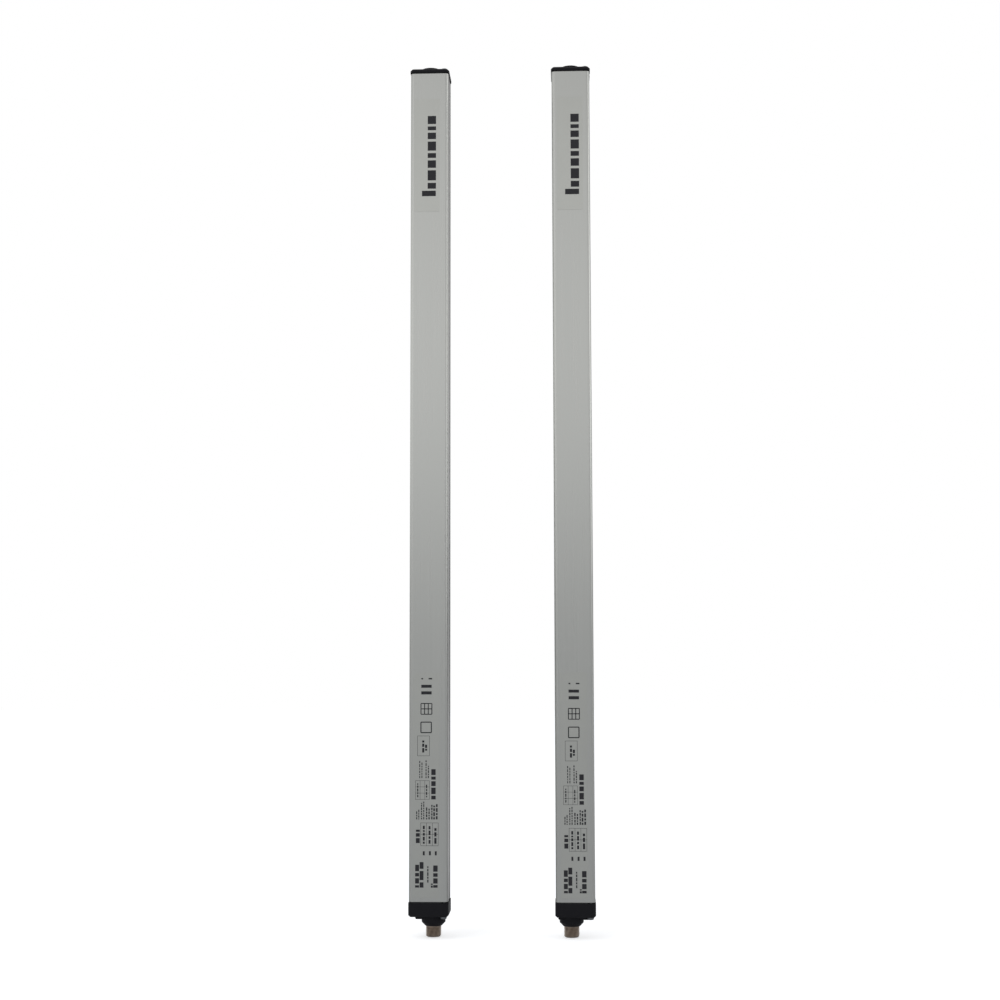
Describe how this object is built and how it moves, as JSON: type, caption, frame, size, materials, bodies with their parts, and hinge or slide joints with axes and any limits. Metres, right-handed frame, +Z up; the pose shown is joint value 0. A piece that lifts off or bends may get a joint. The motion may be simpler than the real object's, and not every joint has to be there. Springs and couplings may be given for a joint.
{
  "type": "measuring light curtain",
  "caption": "Two slim upright aluminium bars with black end caps and round plug connectors, which face each other and measure what comes between them with light beams.",
  "frame": {"origin": "centre of the measuring field: midway between the two bars and halfway up their housings", "axes": "+Z up along the bars, away from the connectors; +X from the emitter to the receiver, along the beams; -Y the broad side with the labels"},
  "size_m": [0.143, 0.029, 0.6828],
  "materials": {
    "anodised_aluminium": "natural anodised, fine satin",
    "window_acrylic": "polished, very dark red, passes infrared",
    "seal_rubber": "matte",
    "cap_plastic": "moulded, fine grain",
    "screw_steel": "bright",
    "connector_nickel": "nickel plated",
    "insert_plastic": "moulded",
    "contact_gold": "gold plated",
    "board_green": "solder mask",
    "carrier_plastic": "dull, absorbs light",
    "lens_acrylic": "clear, polished",
    "chip_plastic": "moulded",
    "lamp_resin": "milky",
    "diode_resin": "dark clear"
  },
  "bodies": {
    "root": {"emitter_profile": "anodised_aluminium", "emitter_window": "window_acrylic", "emitter_window_seals": "seal_rubber", "emitter_cap_gaskets": "seal_rubber", "emitter_top_cap": "cap_plastic", "emitter_bottom_cap": "cap_plastic", "emitter_cap_screws": "screw_steel", "emitter_connector_shell": "connector_nickel", "emitter_connector_insert": "insert_plastic", "emitter_connector_pins": "contact_gold", "emitter_contact_board": "board_green", "emitter_board_link": "insert_plastic", "emitter_circuit_board": "board_green", "emitter_optics_carrier": "carrier_plastic", "emitter_lens_strip": "lens_acrylic", "emitter_driver_chips": "chip_plastic", "emitter_status_lamps": "lamp_resin", "receiver_profile": "anodised_aluminium", "receiver_window": "window_acrylic", "receiver_window_seals": "seal_rubber", "receiver_cap_gaskets": "seal_rubber", "receiver_top_cap": "cap_plastic", "receiver_bottom_cap": "cap_plastic", "receiver_cap_screws": "screw_steel", "receiver_connector_shell": "connector_nickel", "receiver_connector_insert": "insert_plastic", "receiver_connector_pins": "contact_gold", "receiver_contact_board": "board_green", "receiver_board_link": "insert_plastic", "receiver_circuit_board": "board_green", "receiver_optics_carrier": "carrier_plastic", "receiver_lens_strip": "lens_acrylic", "receiver_driver_chips": "chip_plastic", "receiver_status_lamps": "lamp_resin", "emitter_infrared_diodes": "diode_resin", "receiver_photodiodes": "diode_resin"}
  },
  "joints": []
}
